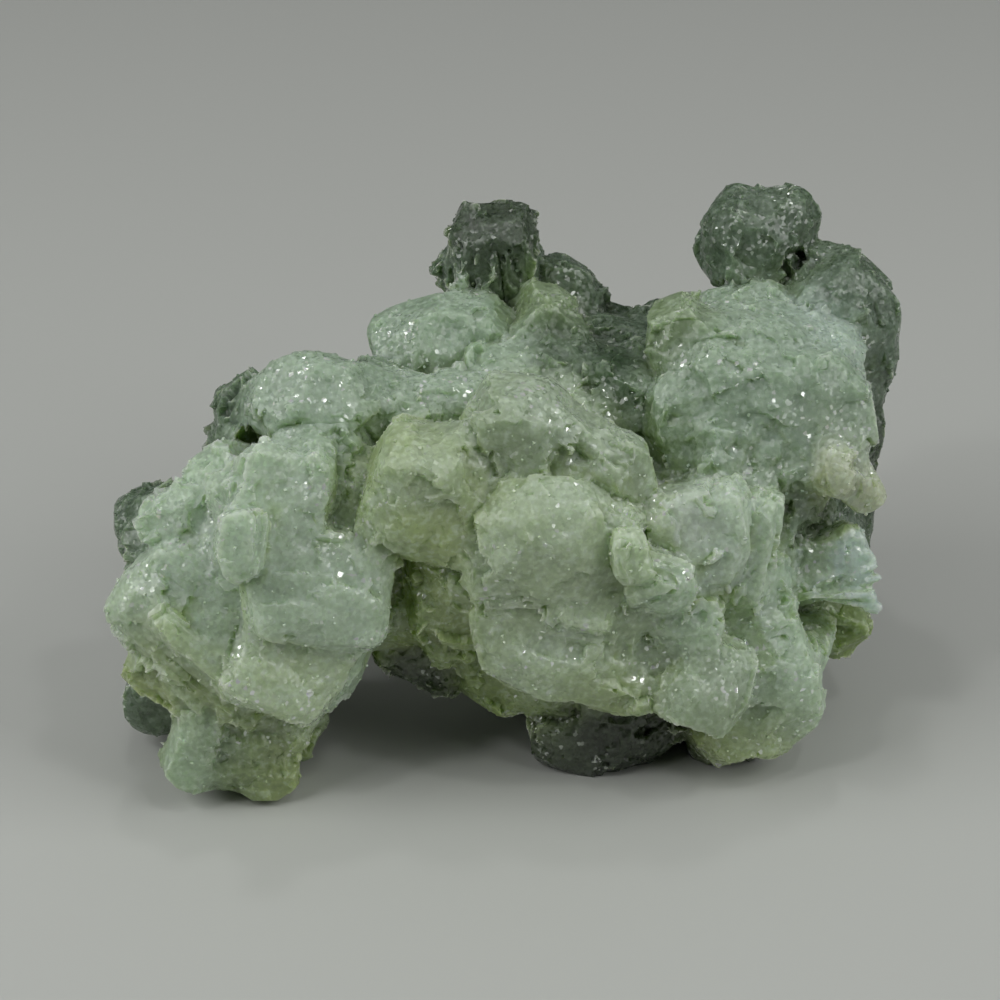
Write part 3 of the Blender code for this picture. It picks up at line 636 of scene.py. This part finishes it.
def baked(obj):
    """The object's mesh with its modifiers worked in, and the object gone."""
    graph = bpy.context.evaluated_depsgraph_get()
    mesh = bpy.data.meshes.new_from_object(obj.evaluated_get(graph))
    bpy.data.objects.remove(obj, do_unlink=True)
    return mesh


def shown(name, mesh):
    """A new object in the scene."""
    obj = bpy.data.objects.new(name, mesh)
    bpy.context.scene.collection.objects.link(obj)
    return obj


def fused(name, mesh, grain):
    """The mesh fused to one closed skin of quads as wide as grain."""
    obj = shown(name, mesh)
    fuse = obj.modifiers.new("Fuse", "REMESH")
    fuse.mode = "VOXEL"
    fuse.voxel_size = grain
    soften = obj.modifiers.new("Soften", "SMOOTH")
    soften.iterations = SOFTEN_ROUNDS
    return baked(obj)


def crystal_mesh(name, shape):
    """One small crystal: a block with its upper end drawn in, sunk by most of its height."""
    bm = bmesh.new()
    bmesh.ops.create_cube(bm, size=1.0)
    bmesh.ops.scale(bm, vec=Vector(shape), verts=bm.verts)
    top = [vert for vert in bm.verts if vert.co.z > 0]
    bmesh.ops.scale(bm, vec=FROST_TIP, verts=top)
    bmesh.ops.translate(bm, vec=Vector((0, 0, -FROST_SUNK * shape[2])), verts=bm.verts)
    mesh = bpy.data.meshes.new(name)
    bm.to_mesh(mesh)
    bm.free()
    return mesh


def scatter_group(name, crystal, spacing, density, low, high, tilt, seed):
    """A geometry node group that sets crystals over a surface, their size led by the attribute growth."""
    tree = bpy.data.node_groups.new(name, "GeometryNodeTree")
    tree.interface.new_socket(name="Geometry", in_out="INPUT", socket_type="NodeSocketGeometry")
    tree.interface.new_socket(name="Geometry", in_out="OUTPUT", socket_type="NodeSocketGeometry")
    graph = Graph(tree)
    ground = graph.value("NodeGroupInput")
    cover = graph.value("GeometryNodeInputNamedAttribute", {"data_type": "FLOAT"}, {"Name": "cover"})
    growth = graph.value("GeometryNodeInputNamedAttribute", {"data_type": "FLOAT"}, {"Name": "growth"})
    points = graph.node(
        "GeometryNodeDistributePointsOnFaces", {"distribute_method": "POISSON"},
        {"Mesh": ground, "Distance Min": spacing, "Density Max": density, "Density Factor": cover,
         "Seed": seed},
    )
    lean = graph.value(
        "FunctionNodeRandomValue", {"data_type": "FLOAT_VECTOR"},
        {"Min": (-tilt, -tilt, -math.pi), "Max": (tilt, tilt, math.pi), "Seed": seed + 1},
    )
    turned = graph.value(
        "FunctionNodeRotateRotation", {"rotation_space": "LOCAL"},
        {"Rotation": Value(graph, points.outputs["Rotation"]),
         "Rotate By": graph.value("FunctionNodeEulerToRotation", None, {0: lean})},
    )
    size = graph.value(
        "FunctionNodeRandomValue", {"data_type": "FLOAT"}, {2: low, 3: high, "Seed": seed + 2}, 1
    )
    one = graph.value("GeometryNodeObjectInfo", None, {"Object": crystal}, "Geometry")
    placed = graph.value(
        "GeometryNodeInstanceOnPoints", None,
        {"Points": Value(graph, points.outputs["Points"]), "Instance": one, "Rotation": turned,
         "Scale": size * growth},
    )
    real = graph.value("GeometryNodeRealizeInstances", None, {"Geometry": placed})
    graph.node("NodeGroupOutput", None, {0: real})
    return tree


def scattered(name, mesh, shape, **settings):
    """The crystals that a scatter group sets over a mesh, as a plain mesh."""
    crystal = shown(name + "_crystal", crystal_mesh(name + "_crystal", shape))
    obj = shown(name, mesh)
    strew = obj.modifiers.new("Strew", "NODES")
    strew.node_group = scatter_group(name, crystal, **settings)
    made = baked(obj)
    bpy.data.objects.remove(crystal, do_unlink=True)
    return made


def positions_of(mesh):
    """The mesh's points as an array, in metres."""
    flat = np.empty(len(mesh.vertices) * 3)
    mesh.vertices.foreach_get("co", flat)
    return flat.reshape(-1, 3)


def normals_of(mesh):
    """The outward directions at the mesh's points as an array."""
    flat = np.empty(len(mesh.vertices) * 3)
    mesh.vertex_normals.foreach_get("vector", flat)
    return flat.reshape(-1, 3)


def lump_distances(points):
    """How far each point is outside each lump's own surface, roughly, in millimetres."""
    spots = points / MM - np.array(CLUSTER_SHIFT)
    columns = []
    for _, lumps in GROUPS:
        for lump in lumps:
            half = np.array(lump.half)
            away = spots - np.array(lump.at)
            near = (np.abs(away) < half.max() * LUMP_REACH + LUMP_MARGIN).all(axis=1)
            own = np.abs(away[near] @ np.array(turn_of(lump))) / half
            level = (own ** lump.square).sum(axis=1) ** (1 / lump.square)
            column = np.full(len(spots), FAR)
            column[near] = (level - 1) * half.mean()
            columns.append(column)
    return np.stack(columns, axis=1)


def lump_shares(points):
    """How much each lump owns of each point, as shares that add up to 1."""
    distance = lump_distances(points)
    nearest = distance.min(axis=1, keepdims=True)
    share = np.exp(-(distance - nearest) / TONE_BLEND)
    return share / share.sum(axis=1, keepdims=True)


def tones_of(part):
    """One part of every lump's tone, in the order of the shares."""
    return np.array([getattr(tone_of(lump, tone), part) for tone, lumps in GROUPS for lump in lumps])


def set_floats(mesh, name, values):
    """Stores a number at each of the mesh's points."""
    attribute = mesh.attributes.new(name, "FLOAT", "POINT")
    attribute.data.foreach_set("value", np.ascontiguousarray(values, dtype=np.float32))


def set_colours(mesh, name, colours):
    """Stores a colour at each of the mesh's points."""
    attribute = mesh.attributes.new(name, "FLOAT_COLOR", "POINT")
    full = np.ones((len(colours), 4), dtype=np.float32)
    full[:, :3] = colours
    attribute.data.foreach_set("color", full.ravel())


def sky_share(mesh, reach, rays, seed):
    """For each point, the share of rays over its outward half-ball that meet nothing within reach."""
    bm = bmesh.new()
    bm.from_mesh(mesh)
    tree = BVHTree.FromBMesh(bm)
    draw = random.Random(seed)
    spokes = [Vector([draw.gauss(0, 1) for _ in range(3)]).normalized() for _ in range(rays)]
    open_share = np.zeros(len(bm.verts))
    for index, vert in enumerate(bm.verts):
        start = vert.co + vert.normal * SKY_LIFT * MM
        free = 0
        for spoke in spokes:
            way = (spoke + vert.normal * SKY_OUTWARD).normalized()
            free += tree.ray_cast(start, way, reach)[0] is None
        open_share[index] = free / rays
    bm.free()
    return open_share


def cut_flat(mesh):
    """Takes off what is below the resting plane and closes the cuts."""
    bm = bmesh.new()
    bm.from_mesh(mesh)
    everything = bm.verts[:] + bm.edges[:] + bm.faces[:]
    bmesh.ops.bisect_plane(bm, geom=everything, plane_co=(0, 0, 0), plane_no=(0, 0, -1), clear_outer=True)
    bmesh.ops.holes_fill(bm, edges=[edge for edge in bm.edges if edge.is_boundary], sides=0)
    bmesh.ops.triangulate(bm, faces=bm.faces)
    bm.to_mesh(mesh)
    bm.free()


def largest_shell(mesh):
    """Keeps the outer skin, and drops closed pockets inside it and loose specks."""
    bm = bmesh.new()
    bm.from_mesh(mesh)
    found = set()
    shells = []
    for start in bm.verts:
        if start in found:
            continue
        found.add(start)
        shell = [start]
        for vert in shell:
            near = [edge.other_vert(vert) for edge in vert.link_edges]
            fresh = [other for other in near if other not in found]
            found.update(fresh)
            shell.extend(fresh)
        shells.append(shell)
    shells.sort(key=len)
    specks = [vert for shell in shells[:-1] for vert in shell]
    bmesh.ops.delete(bm, geom=specks, context="VERTS")
    bmesh.ops.triangulate(bm, faces=bm.faces)
    bm.to_mesh(mesh)
    bm.free()


def thinned(name, mesh, triangles):
    """The mesh with its flat places in fewer, larger triangles."""
    obj = shown(name, mesh)
    thin = obj.modifiers.new("Crystal faces", "DECIMATE")
    mesh.calc_loop_triangles()
    thin.ratio = min(1.0, triangles / len(mesh.loop_triangles))
    return baked(obj)


def smoothed(mesh, values, rounds):
    """Values at the mesh's points, each averaged with its neighbours' over and over."""
    flat = np.empty(len(mesh.edges) * 2, dtype=np.int32)
    mesh.edges.foreach_get("vertices", flat)
    first, second = flat.reshape(-1, 2).T
    count = len(values)
    neighbours = np.bincount(first, minlength=count) + np.bincount(second, minlength=count)
    for _ in range(rounds):
        columns = [
            column + np.bincount(first, column[second], count) + np.bincount(second, column[first], count)
            for column in values.T
        ]
        values = np.stack(columns, axis=1) / (neighbours + 1)[:, None]
    return values


def facetted(mesh, widths, leans, steps, rounds, deepest, seed):
    """Cuts the skin to flat facets: each point moves to the lowest of the planes seated around it."""
    points = positions_of(mesh)
    level = smoothed(mesh, points, rounds)
    normals = smoothed(mesh, normals_of(mesh), rounds)
    normals /= np.linalg.norm(normals, axis=1, keepdims=True)
    shares = lump_shares(points)
    coarse = shares @ tones_of("coarse")
    cut = shares @ tones_of("cut")
    width, lean, step = (sugary + (blocky - sugary) * coarse for sugary, blocky in (widths, leans, steps))
    width = width * MM
    draw = np.random.default_rng(seed)
    areas = np.empty(len(mesh.polygons))
    mesh.polygons.foreach_get("area", areas)
    picked = np.flatnonzero(draw.random(len(points)) < areas.sum() / len(points) / width ** 2)
    facing = normals[picked] + lean[picked, None] * draw.uniform(-1, 1, (len(picked), 3))
    facing /= np.linalg.norm(facing, axis=1, keepdims=True)
    offset = step[picked] * width[picked] * draw.uniform(-1, 1, len(picked))
    seat = level[picked] + facing * offset[:, None]
    tree = KDTree(len(picked))
    for index, spot in enumerate(level[picked]):
        tree.insert(spot, index)
    tree.balance()
    near = np.array([[found[1] for found in tree.find_n(spot, FACET_NEIGHBOURS)] for spot in level])
    toward = np.einsum("vki,vi->vk", facing[near], normals)
    rise = np.einsum("vki,vki->vk", seat[near] - points[:, None], facing[near])
    rise /= np.maximum(toward, FACET_TOWARD)
    lowest = np.where(toward < FACET_TOWARD, np.inf, rise).min(axis=1)
    lowest = np.where(np.isinf(lowest), 0.0, lowest) * (1 - FACET_EASE * coarse) * cut
    lowest = np.clip(lowest, -deepest * MM, deepest * MM)
    mesh.vertices.foreach_set("co", (points + normals * lowest[:, None]).ravel())
    mesh.update()


def mark_growth(mesh):
    """Stores how large and how close the frost grows, by how coarse the stone is."""
    points = positions_of(mesh)
    coarse = lump_shares(points) @ tones_of("coarse")
    growth, cover = (sugary + (blocky - sugary) * coarse for sugary, blocky in (FROST_GROWTH, FROST_COVER))
    set_floats(mesh, "growth", growth)
    set_floats(mesh, "cover", cover * (points[:, 2] > FROST_CLEARANCE * MM))


def mark_looks(mesh):
    """Stores what the materials read: colour, coarseness, openness for the painted shade in hollows, and
    how much each point faces up for a painted sheen.
    """
    points = positions_of(mesh)
    stray = np.array([noise.noise_vector(Vector(point) / (TONE_WAVES * MM)) for point in points])
    shares = lump_shares(points + TONE_STRAY * MM * stray)
    set_floats(mesh, "bloom", np.clip(normals_of(mesh)[:, 2], 0, 1))
    set_colours(mesh, "tint", shares @ np.array([linear(colour) for colour in tones_of("colour")]))
    set_floats(mesh, "coarse", shares @ tones_of("coarse"))
    set_floats(mesh, "open_sky", sky_share(mesh, SKY_REACH * MM, SKY_RAYS, SKY_SEED))


def empty_material(name):
    """A new material, and the graph that fills its node tree."""
    material = bpy.data.materials.new(name)
    material.use_nodes = True
    material.node_tree.nodes.clear()
    return material, Graph(material.node_tree)


def prehnite_body_material(look):
    """Cloudy green stone: light sinks in, and small facets at slightly different slopes catch it."""
    material, g = empty_material("prehnite_body")
    place = g.value("ShaderNodeTexCoord", None, None, "Object")
    tint = g.attribute("tint", "Color")
    coarse = g.attribute("coarse")
    sky = g.attribute("open_sky")
    bloom = g.attribute("bloom")
    cloud = g.noise(place, CLOUD_SCALE, 3.0)
    grain = g.noise(place, GRAIN_SCALE, 2.0)
    cell = g.value("ShaderNodeTexVoronoi", None, {"Vector": place, "Scale": CELL_SCALE}, "Color")

    # Painted shade: hollows, where few rays get out, are darkened to a deeper and yellower green
    hollow_shade = (1.0 - sky) * 1.25 + (cloud - 0.5) * 0.40 - 0.34
    hollow_shade = g.value("ShaderNodeClamp", None, {"Value": hollow_shade})
    hollow_shade_green = g.blend(1.0, tint, (*linear(look.hollow_shade_colour), 1.0), "MULTIPLY")
    base = g.blend(hollow_shade, tint, hollow_shade_green)

    # Milky clouds lie in the pale stone, and on what faces up they are strengthened as a painted sheen
    milk = g.blend(g.part(tint, "Green") * 1.3 + 0.12, tint, (*linear(look.milk_colour), 1.0))
    milk_and_top_sheen = g.ramp(cloud + bloom * 0.16, [(0.46, 0.0), (0.74, 1.0)])
    base = g.blend(milk_and_top_sheen * (0.42 - 0.12 * coarse), base, milk)

    # Flecks, dark and pale, and painted shade on some of the small facets
    speckle = g.ramp(grain, [(0.36, 1.0), (0.50, 0.35), (0.62, 0.0)])
    dark_fleck = g.blend(1.0, base, (0.52, 0.57, 0.50, 1.0), "MULTIPLY")
    base = g.blend(speckle * (0.26 + 0.34 * coarse), base, dark_fleck)
    pale = g.ramp(grain, [(0.52, 0.0), (0.66, 1.0)])
    base = g.blend(pale * 0.40, base, milk)
    # Painted shade: a share of the small facets is darkened as if turned from the light
    base = g.blend(g.part(cell, "Green") * 0.24, base, (0.16, 0.20, 0.14, 1.0))

    # Some facets are smooth enough to glint, in patches, and a few are painted near white and partly
    # metallic as painted glints
    pick = g.part(cell, "Red")
    patch = g.ramp(cloud, [(0.48, 0.0), (0.58, 1.0)])
    glint = (pick > 0.55) * (0.35 + 0.65 * patch)
    painted_glint = (pick > 0.96) * patch * (1.0 - 0.7 * coarse)
    base = g.blend(painted_glint, base, (0.86, 0.90, 0.86, 1.0))
    normal = g.value("ShaderNodeNewGeometry", None, None, "Normal")
    lean = g.vector("SUBTRACT", cell, (0.5, 0.5, 0.5))
    lean = g.vector("SCALE", lean, None, 0.26 + 0.12 * coarse + 0.28 * glint)
    tipped = g.vector("NORMALIZE", g.vector("ADD", normal, lean))

    shader = g.node("ShaderNodeBsdfPrincipled", {"subsurface_method": "RANDOM_WALK"}, {
        "Base Color": base, "Metallic": painted_glint * 0.35,
        "Roughness": (0.46 - 0.14 * coarse) * (1.0 - 0.72 * glint), "IOR": REFRACTION, "Normal": tipped,
        "Subsurface Weight": 1.0, "Subsurface Radius": (0.9, 1.0, 0.7),
        "Subsurface Scale": look.light_depth, "Subsurface Anisotropy": 0.0,
    })
    g.node("ShaderNodeOutputMaterial", None, {"Surface": Value(g, shader.outputs[0])})
    return material


def frost_material(look):
    """The tiny crystals of the frost: the stone's colour, paler, with sharp glints."""
    material, g = empty_material("prehnite_frost")
    tint = g.attribute("tint", "Color")
    base = g.blend(g.part(tint, "Green") * 0.5, tint, (*linear(look.milk_colour), 1.0))
    shader = g.node("ShaderNodeBsdfPrincipled", {"subsurface_method": "RANDOM_WALK"}, {
        "Base Color": base, "Roughness": 0.20, "IOR": REFRACTION, "Subsurface Weight": 0.6,
        "Subsurface Radius": (1.0, 1.0, 0.72), "Subsurface Scale": 0.3 * MM,
    })
    g.node("ShaderNodeOutputMaterial", None, {"Surface": Value(g, shader.outputs[0])})
    return material


def floor_material(colour):
    """Plain pale paint with a soft sheen."""
    material, g = empty_material("floor")
    shader = g.node("ShaderNodeBsdfPrincipled", None, {
        "Base Color": (*linear(colour), 1.0), "Roughness": 0.6,
    })
    g.node("ShaderNodeOutputMaterial", None, {"Surface": Value(g, shader.outputs[0])})
    return material


def finish_piece(obj, material):
    """Gives a piece its material and ties it to the frame."""
    obj.data.materials.clear()
    obj.data.materials.append(material)
    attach(obj, "root")


class PrehniteLook(bpy.types.PropertyGroup):
    grain: bpy.props.FloatProperty(
        name="Grain", description="Width of the fused skin's quads", default=0.00021, unit="LENGTH")
    triangles: bpy.props.IntProperty(
        name="Triangles", description="Most triangles in the cluster's skin", default=196000)
    light_depth: bpy.props.FloatProperty(
        name="Light depth", description="How far light sinks into the stone", default=0.0028, unit="LENGTH")
    # Painted shade: the colour that hollows are multiplied by to darken them
    hollow_shade_colour: bpy.props.FloatVectorProperty(
        name="Hollow shade colour", description="What hollows are multiplied by",
        default=(0.86, 0.90, 0.50), subtype="COLOR_GAMMA")
    milk_colour: bpy.props.FloatVectorProperty(
        name="Milk colour", description="The paler clouds in the stone",
        default=(0.84, 0.90, 0.84), subtype="COLOR_GAMMA")


class PrehniteStudio(bpy.types.PropertyGroup):
    floor_colour: bpy.props.FloatVectorProperty(
        name="Floor colour", description="Plain pale floor",
        default=(0.76, 0.77, 0.75), subtype="COLOR_GAMMA")
    camera_distance: bpy.props.FloatProperty(
        name="Camera distance", description="From the camera to what it looks at",
        default=0.240, unit="LENGTH")
    camera_height: bpy.props.FloatProperty(
        name="Camera height", description="Angle above the horizon",
        default=math.radians(33), subtype="ANGLE")
    sky_strength: bpy.props.FloatProperty(
        name="Sky strength", description="Brightness of the light from all round", default=0.01)
    lamp_power: bpy.props.FloatProperty(
        name="Lamp power", description="Power that the lamps share out", default=1.5, unit="POWER")


class PREHNITE_OT_cluster(bpy.types.Operator):
    """Builds the cluster's skin: lumps and crystals fused to one and cut to flat facets"""

    bl_idname = "prehnite.cluster"
    bl_label = "Build cluster"

    def execute(self, context):
        look = context.scene.prehnite_look
        mesh = fused("cluster_skin", heaped_lumps(), look.grain)
        for seed, settings in enumerate(FACETS):
            facetted(mesh, *settings, seed)
        mesh = thinned("cluster_thin", mesh, look.triangles)
        largest_shell(mesh)
        cut_flat(mesh)
        mark_looks(mesh)
        mesh.shade_smooth()
        mesh.set_sharp_from_angle(angle=SHARP_ANGLE)
        mesh.name = "prehnite_mass"
        cluster = shown("prehnite_mass", mesh)
        finish_piece(cluster, prehnite_body_material(look))
        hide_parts(NODE)
        return {"FINISHED"}


class PREHNITE_OT_frost(bpy.types.Operator):
    """Strews the frost of tiny crystals over the cluster"""

    bl_idname = "prehnite.frost"
    bl_label = "Strew frost"

    def execute(self, context):
        look = context.scene.prehnite_look
        ground = bpy.data.objects["prehnite_mass"].data.copy()
        mark_growth(ground)
        low, high = FROST_SIZES
        mesh = scattered(
            "frost", ground, [side * MM for side in FROST_CRYSTAL], spacing=FROST_SPACING * MM,
            density=FROST_DENSITY, low=low, high=high, tilt=FROST_TILT, seed=FROST_SEED,
        )
        mesh.name = "prehnite_frost"
        frost = shown("prehnite_frost", mesh)
        finish_piece(frost, frost_material(look))
        return {"FINISHED"}


def add_lamp(name, place, size, power):
    """A square lamp that faces the cluster's middle."""
    lamp = bpy.data.lights.new(name, "AREA")
    lamp.size = size
    lamp.energy = power
    obj = shown(name, lamp)
    obj.location = place
    obj.rotation_mode = "QUATERNION"
    obj.rotation_quaternion = (Vector(place) - LAMP_AIM).to_track_quat("Z", "Y")


class PREHNITE_OT_studio(bpy.types.Operator):
    """Sets up the floor, the soft lamps and the camera"""

    bl_idname = "prehnite.studio"
    bl_label = "Set up studio"

    def execute(self, context):
        studio = context.scene.prehnite_studio
        bm = bmesh.new()
        bmesh.ops.create_grid(bm, x_segments=1, y_segments=1, size=FLOOR_HALF)
        mesh = bpy.data.meshes.new("floor")
        bm.to_mesh(mesh)
        bm.free()
        mesh.materials.append(floor_material(studio.floor_colour))
        shown("floor", mesh)

        world = bpy.data.worlds.new("soft_room")
        world.use_nodes = True
        background = world.node_tree.nodes["Background"]
        background.inputs["Color"].default_value = SKY_COLOUR
        background.inputs["Strength"].default_value = studio.sky_strength
        context.scene.world = world
        for name, place, size, share in LAMPS:
            add_lamp(name, place, size, share * studio.lamp_power)

        camera = bpy.data.cameras.new("camera")
        camera.lens = CAMERA_LENS
        camera.clip_start = CAMERA_NEAR
        obj = shown("camera", camera)
        back = Vector((0, -math.cos(studio.camera_height), math.sin(studio.camera_height)))
        aim = (CAMERA_AIM + CLUSTER_SHIFT) * MM
        obj.location = aim + back * studio.camera_distance
        obj.rotation_mode = "QUATERNION"
        obj.rotation_quaternion = back.to_track_quat("Z", "Y")
        context.scene.camera = obj
        context.scene.view_settings.view_transform = "Standard"
        return {"FINISHED"}


class PREHNITE_PT_panel(bpy.types.Panel):
    bl_label = "Prehnite cluster"
    bl_idname = "PREHNITE_PT_panel"
    bl_space_type = "VIEW_3D"
    bl_region_type = "UI"
    bl_category = "Prehnite"

    def draw(self, context):
        for group in (context.scene.prehnite_look, context.scene.prehnite_studio):
            for name in group.__annotations__:
                self.layout.prop(group, name)
        for operator in OPERATORS:
            self.layout.operator(operator.bl_idname)


OPERATORS = (PREHNITE_OT_studio, PREHNITE_OT_cluster, PREHNITE_OT_frost)
CLASSES = (PrehniteLook, PrehniteStudio, *OPERATORS, PREHNITE_PT_panel)


def register():
    for item in CLASSES:
        bpy.utils.register_class(item)
    bpy.types.Scene.prehnite_look = bpy.props.PointerProperty(type=PrehniteLook)
    bpy.types.Scene.prehnite_studio = bpy.props.PointerProperty(type=PrehniteStudio)


def unregister():
    del bpy.types.Scene.prehnite_look
    del bpy.types.Scene.prehnite_studio
    for item in reversed(CLASSES):
        bpy.utils.unregister_class(item)


def main():
    register()
    bpy.ops.prehnite.studio()
    bpy.ops.prehnite.cluster()
    bpy.ops.prehnite.frost()


if __name__ == "__main__":
    main()
